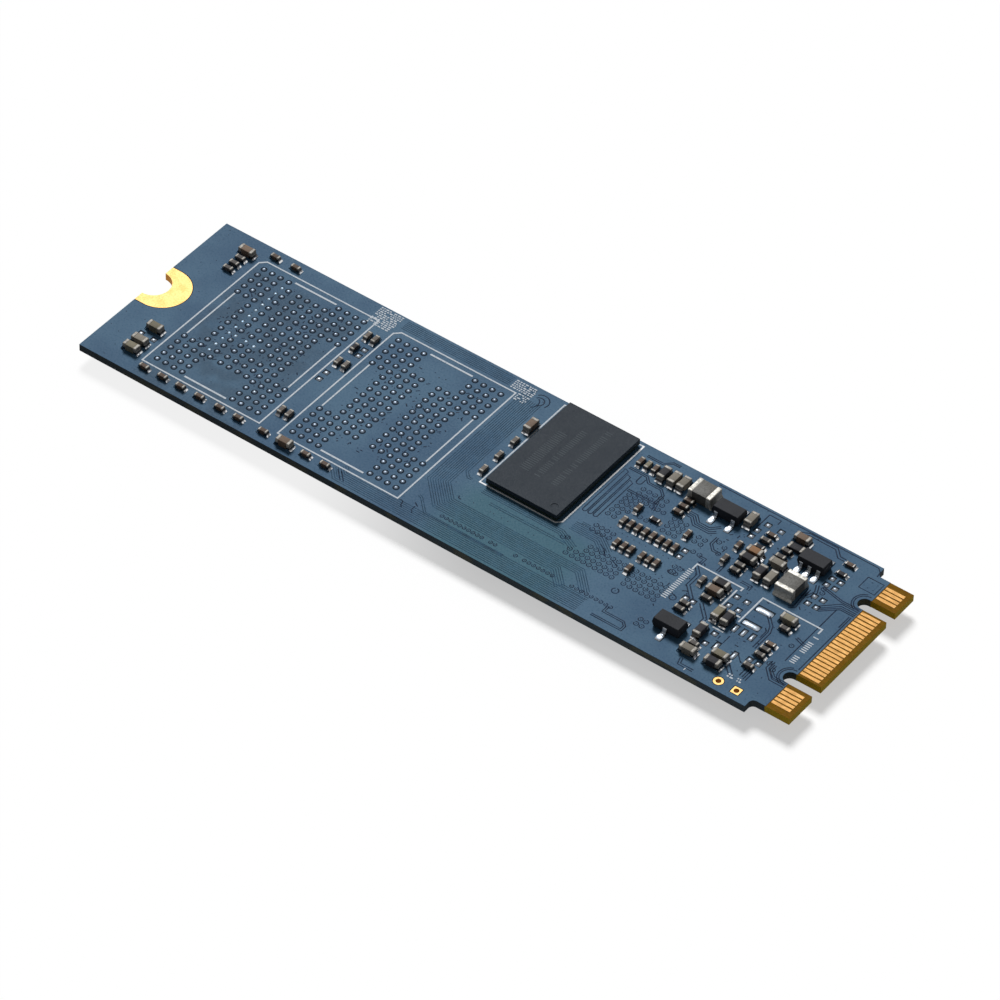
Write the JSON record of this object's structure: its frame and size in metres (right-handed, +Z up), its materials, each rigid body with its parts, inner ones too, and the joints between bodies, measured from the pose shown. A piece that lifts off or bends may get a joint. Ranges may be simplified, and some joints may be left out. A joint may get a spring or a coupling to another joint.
{
  "type": "gumstick solid state drive",
  "caption": "Bare gumstick solid state drive card with keyed contact edge, half-round screw notch, memory packages, empty package sites and chip parts on both faces.",
  "frame": {"origin": "centre of the bounding box's bottom face; the undersides of the packages under the card lie in this plane", "axes": "+X along the card's length towards the contact edge, +Y across the card to the far long edge, +Z up out of the face that shows the empty flash sites"},
  "size_m": [0.08, 0.022, 0.0032],
  "materials": {
    "laminate": "satin",
    "solder_mask": "satin",
    "contact_gold": "satin",
    "land_gold": "satin",
    "print": "matte",
    "moulding": "matte",
    "package_substrate": "satin",
    "solder": "satin",
    "tin": "satin",
    "inductor_ferrite": "matte",
    "ferrite": "satin",
    "resistor_glaze": "gloss",
    "capacitor_ceramic": "satin",
    "crystal_metal": "satin",
    "crystal_ceramic": "satin"
  },
  "bodies": {
    "root": {"board_core": "laminate", "top_solder_mask": "solder_mask", "bottom_solder_mask": "solder_mask", "contact_fingers_top": "contact_gold", "contact_fingers_bottom": "contact_gold", "screw_notch_plating": "land_gold", "flash_site_1_bumps": "solder", "flash_site_2_bumps": "solder", "flash_site_outlines": "print", "memory_outline": "print", "bracket_marks": "print", "memory_mould": "moulding", "memory_substrate": "package_substrate", "memory_balls": "solder", "controller_mould": "moulding", "controller_substrate": "package_substrate", "controller_balls": "solder", "flash_1_mould": "moulding", "flash_1_substrate": "package_substrate", "flash_1_balls": "solder", "flash_2_mould": "moulding", "flash_2_substrate": "package_substrate", "flash_2_balls": "solder", "inductor_bodies": "inductor_ferrite", "inductor_terminals": "tin", "five_lead_chip_body": "moulding", "five_lead_chip_leads": "tin", "six_lead_chip_body": "moulding", "six_lead_chip_leads": "tin", "three_lead_chip_body": "moulding", "three_lead_chip_leads": "tin", "screw_end_capacitor_bodies": "capacitor_ceramic", "screw_end_capacitor_ends": "tin", "long_edge_capacitor_bodies": "capacitor_ceramic", "long_edge_capacitor_ends": "tin", "middle_capacitor_bodies": "capacitor_ceramic", "middle_capacitor_ends": "tin", "memory_capacitor_bodies": "capacitor_ceramic", "memory_capacitor_ends": "tin", "far_row_capacitor_bodies": "capacitor_ceramic", "far_row_capacitor_ends": "tin", "core_capacitor_bodies": "capacitor_ceramic", "core_capacitor_ends": "tin", "supply_capacitor_bodies": "capacitor_ceramic", "supply_capacitor_ends": "tin", "ferrite_bodies": "ferrite", "ferrite_ends": "tin", "resistor_bodies": "resistor_glaze", "resistor_ends": "tin", "bare_chip_pads": "solder", "bare_site_pads": "solder", "test_pads": "land_gold", "crystal_can": "crystal_metal", "crystal_base": "crystal_ceramic", "underside_capacitor_bodies": "capacitor_ceramic", "underside_capacitor_ends": "tin"}
  },
  "joints": []
}
